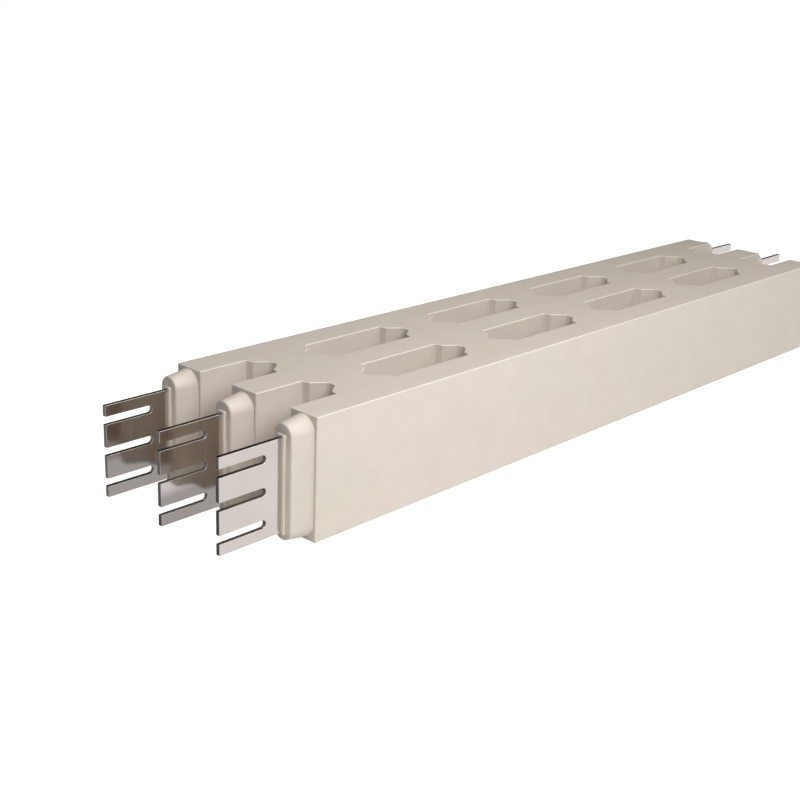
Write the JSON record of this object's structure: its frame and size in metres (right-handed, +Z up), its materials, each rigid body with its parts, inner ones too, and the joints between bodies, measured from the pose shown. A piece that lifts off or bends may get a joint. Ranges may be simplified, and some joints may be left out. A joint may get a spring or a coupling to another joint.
{
  "type": "cast-resin busway section",
  "caption": "Long resin casting with open ventilation slots, holding flat tinned-copper busbars on edge; their slotted forks stand out of tapered bosses at each end.",
  "frame": {"origin": "bottom centre of the whole section, midway along it and on the middle phase", "axes": "+X along the section's length, +Y across the three phases, +Z up"},
  "size_m": [2, 0.35, 0.214],
  "materials": {
    "cast_resin": "satin",
    "tinned_copper": "polished"
  },
  "bodies": {
    "root": {"resin_body": "cast_resin", "busbar_l1": "tinned_copper", "busbar_l2": "tinned_copper", "busbar_l3": "tinned_copper"}
  },
  "joints": []
}
